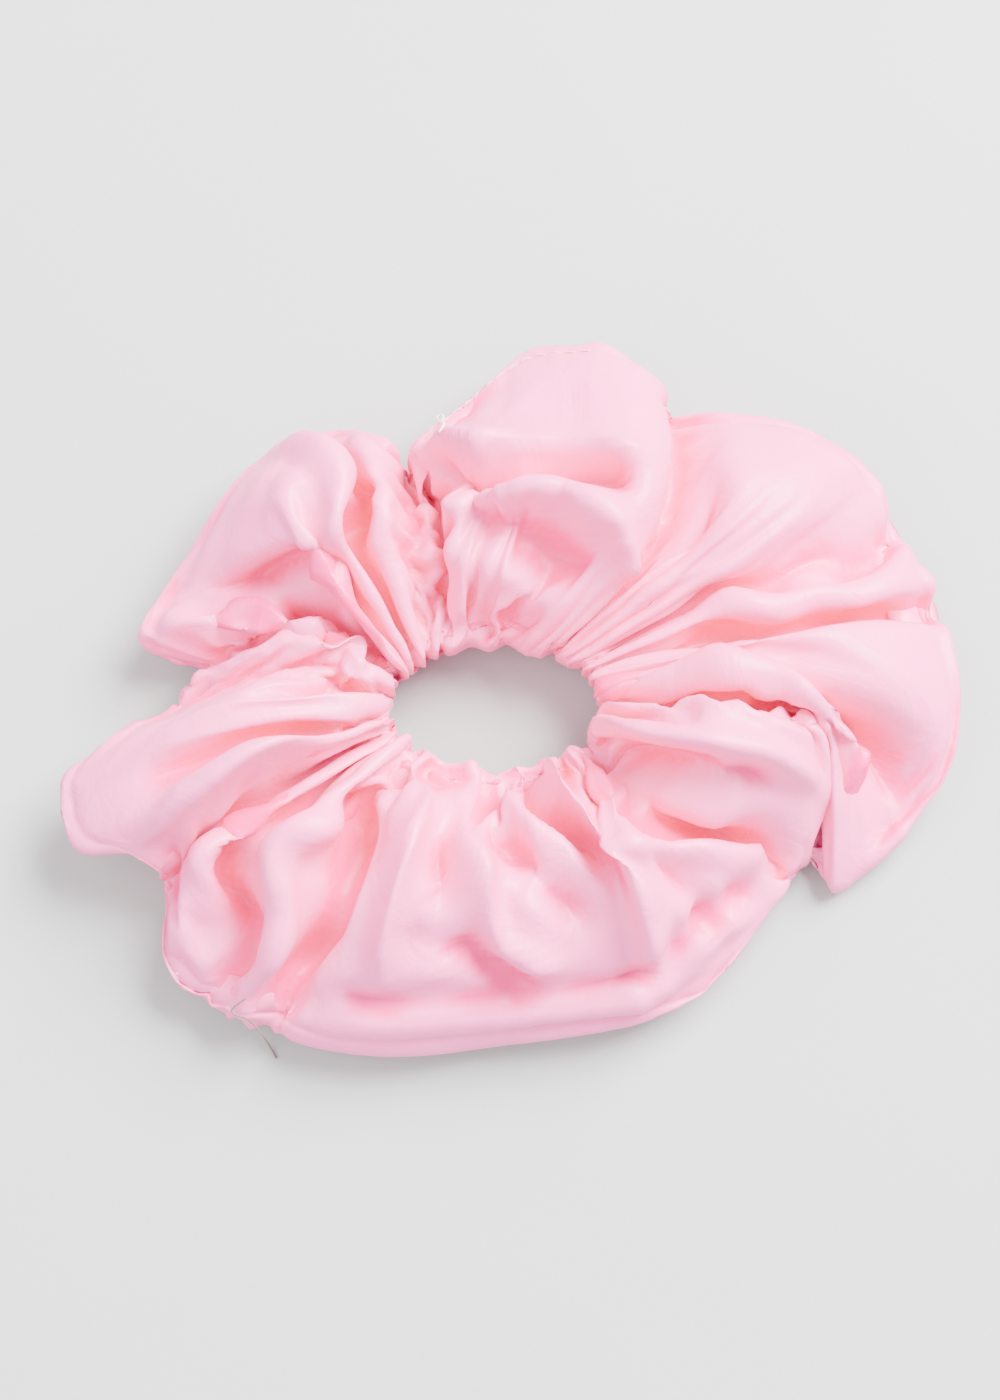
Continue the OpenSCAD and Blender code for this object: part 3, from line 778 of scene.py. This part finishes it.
def spun_polyester_thread(name, hex_value):
    """Spun polyester sewing thread: matt, slightly hairy, with the twist of its plies as fine slanted
    ridges. The twist is drawn at 0.3 mm, about twice its real pitch, so that it shows."""
    thread = new_material(name, Roughness=0.6, Sheen_Weight=0.3)
    place = add_node(thread, "ShaderNodeTexCoord", {}).outputs["Object"]
    slanted = add_node(thread, "ShaderNodeMapping", {"Vector": place, "Rotation": (0.6, 0.4, 0.5)})
    twist_pitch = 0.3 * MM
    twist = add_node(thread, "ShaderNodeTexWave", {"Vector": slanted.outputs["Vector"],
                                                   "Scale": 2 * math.pi / (20 * twist_pitch),
                                                   "Distortion": 1.0})
    plies = add_node(thread, "ShaderNodeBump", {"Height": twist.outputs["Fac"], "Strength": 0.6,
                                                "Distance": 0.05 * MM})
    shaded = [0.8 * c for c in colour(hex_value)[:3]] + [1.0]
    tone = add_node(thread, "ShaderNodeMix", {"Factor": twist.outputs["Fac"], "A": colour(hex_value),
                                              "B": shaded}, data_type="RGBA")
    set_shader(thread, {"Base Color": tone.outputs["Result"], "Normal": plies.outputs["Normal"]})
    return thread


def white_braided_elastic():
    """Flat braided elastic: white polyester yarn plaited over rubber, so it is matt, and each rib
    carries a fine herringbone of yarns 0.8 mm apart."""
    elastic = new_material("white_braided_elastic", Roughness=0.75, Sheen_Weight=0.3)
    place = add_node(elastic, "ShaderNodeTexCoord", {}).outputs["Object"]
    yarn_pitch = 0.8 * MM
    yarns = add_node(elastic, "ShaderNodeTexVoronoi", {"Vector": place, "Scale": 1 / yarn_pitch,
                                                       "Randomness": 0.35})
    grain = add_node(elastic, "ShaderNodeBump", {"Height": yarns.outputs["Distance"], "Strength": 0.7,
                                                 "Distance": 0.12 * MM})
    tone = add_node(elastic, "ShaderNodeMix", {"Factor": yarns.outputs["Distance"], "A": colour("#f7f5f1"),
                                               "B": colour("#d9d5ce")}, data_type="RGBA")
    set_shader(elastic, {"Base Color": tone.outputs["Result"], "Normal": grain.outputs["Normal"]})
    return elastic


def pale_matt_card():
    """Thick pale card under the object: matt, very faintly mottled, with a fine tooth."""
    card = new_material("pale_matt_card", Roughness=0.9, Specular_IOR_Level=0.2)
    place = add_node(card, "ShaderNodeTexCoord", {}).outputs["Object"]
    mottle = add_node(card, "ShaderNodeTexNoise", {"Vector": place, "Scale": 1 / 0.04, "Detail": 6.0})
    tone = add_node(card, "ShaderNodeMix", {"Factor": mottle.outputs["Fac"], "A": colour(CARD_LIGHT),
                                            "B": colour(CARD_DARK)}, data_type="RGBA")
    tooth = add_node(card, "ShaderNodeTexNoise", {"Vector": place, "Scale": 1 / 0.0012, "Detail": 3.0})
    grain = add_node(card, "ShaderNodeBump", {"Height": tooth.outputs["Fac"], "Strength": 0.25,
                                              "Distance": 0.2 * MM})
    set_shader(card, {"Base Color": tone.outputs["Result"], "Normal": grain.outputs["Normal"]})
    return card


SATIN_PINK = "#ff76b4"
SATIN_DEEP = "#fd6cac"          # where the dye took a little more
FOLD_SHADE_PAINTED_PINK = "#f52e86"        # painted shade deep in a fold: a deeper pink for the light that pink cloth throws on pink cloth
CARD_LIGHT = "#b0b1af"
CARD_DARK = "#abacaa"


# ---------------------------------------------------------------- floor, light and camera
def add_floor():
    """A wide pale floor in the plane that the scrunchie lies on."""
    floor = new_mesh("floor", square(1500), [[0, 1, 2, 3]])
    floor.data.materials.append(pale_matt_card())


def add_area_light(name, place, size, power):
    """A square lamp, in metres and watts, that faces the scrunchie."""
    light = bpy.data.lights.new(name, "AREA")
    light.shape = "SQUARE"
    light.size = size
    light.energy = power
    lamp = bpy.data.objects.new(name, light)
    lamp.location = place
    lamp.rotation_euler = (-Vector(place)).to_track_quat("-Z", "Y").to_euler()
    bpy.context.scene.collection.objects.link(lamp)


def add_soft_sky(strength):
    """Even pale light from all round."""
    world = bpy.data.worlds.new("studio")
    bpy.context.scene.world = world
    world.use_nodes = True
    world.node_tree.nodes["Background"].inputs["Color"].default_value = colour("#fafbff")
    world.node_tree.nodes["Background"].inputs["Strength"].default_value = strength


def add_camera():
    """A long lens high in front, almost straight down, with the opening near the frame's middle."""
    distance, elevation, field = 0.6, math.radians(78), 0.19
    lens = bpy.data.cameras.new("camera")
    lens.sensor_fit = "HORIZONTAL"
    lens.sensor_width = 36
    lens.lens = lens.sensor_width * distance / field
    lens.clip_start = 0.01
    target = Vector((0.001, 0.002, 0.010))
    camera = bpy.data.objects.new("camera", lens)
    camera.location = target + distance * Vector((0, -math.cos(elevation), math.sin(elevation)))
    camera.rotation_euler = (target - camera.location).to_track_quat("-Z", "Y").to_euler()
    bpy.context.scene.collection.objects.link(camera)
    bpy.context.scene.camera = camera


add_camera()
add_floor()
add_area_light("window", place=(0.55, 0.5, 0.8), size=0.7, power=90)
add_area_light("fill", place=(-0.9, -0.4, 1.1), size=1.5, power=28)
add_soft_sky(1.75)

draft = draft_cover()
pressed = creased(draft)
net = drape(pressed, draft) + PRESSED_AGAIN * (pressed - draft)
cover = add_cover(net)
surface = np.empty(len(cover.data.vertices) * 3)
cover.data.vertices.foreach_get("co", surface)
surface = surface.reshape(-1, 3) / MM
allowance = add_seam_allowance(net)
elastic = add_elastic()
elastic_join = add_elastic_join()
long_seam = add_long_seam_thread(net)
topstitch = add_closing_topstitch(net)
white_end = add_loose_thread("white_thread_end", surface, WHITE_ROUTE)
brown_end = add_loose_thread("brown_thread_end", surface, BROWN_ROUTE)

satin = pale_pink_polyester_satin()
pink_thread = spun_polyester_thread("pink_polyester_thread", "#f3a9bf")
white_thread = spun_polyester_thread("white_polyester_thread", "#fbfafa")
brown_thread = spun_polyester_thread("brown_polyester_thread", "#84685f")
braid = white_braided_elastic()
# Every piece is soft: (piece, its material, slot, CAD nodes)
PIECES = [
    (cover, satin, "satin", ["cover_left", "cover_right"]),
    (allowance, satin, "satin", []),
    (elastic, braid, "elastic", ["elastic_band"]),
    (elastic_join, white_thread, "white_thread", ["elastic_join_stitches"]),
    (long_seam, pink_thread, "pink_thread", ["long_seam_stitches_left", "long_seam_stitches_right"]),
    (topstitch, pink_thread, "pink_thread", ["closing_topstitch"]),
    (white_end, white_thread, "white_thread", ["topstitch_thread_tail"]),
    (brown_end, brown_thread, "brown_thread", ["seam_thread_tail"]),
]
for piece, material, slot, nodes in PIECES:
    piece.data.materials.append(material)
    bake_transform(piece)
    if nodes:
        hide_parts(*nodes)
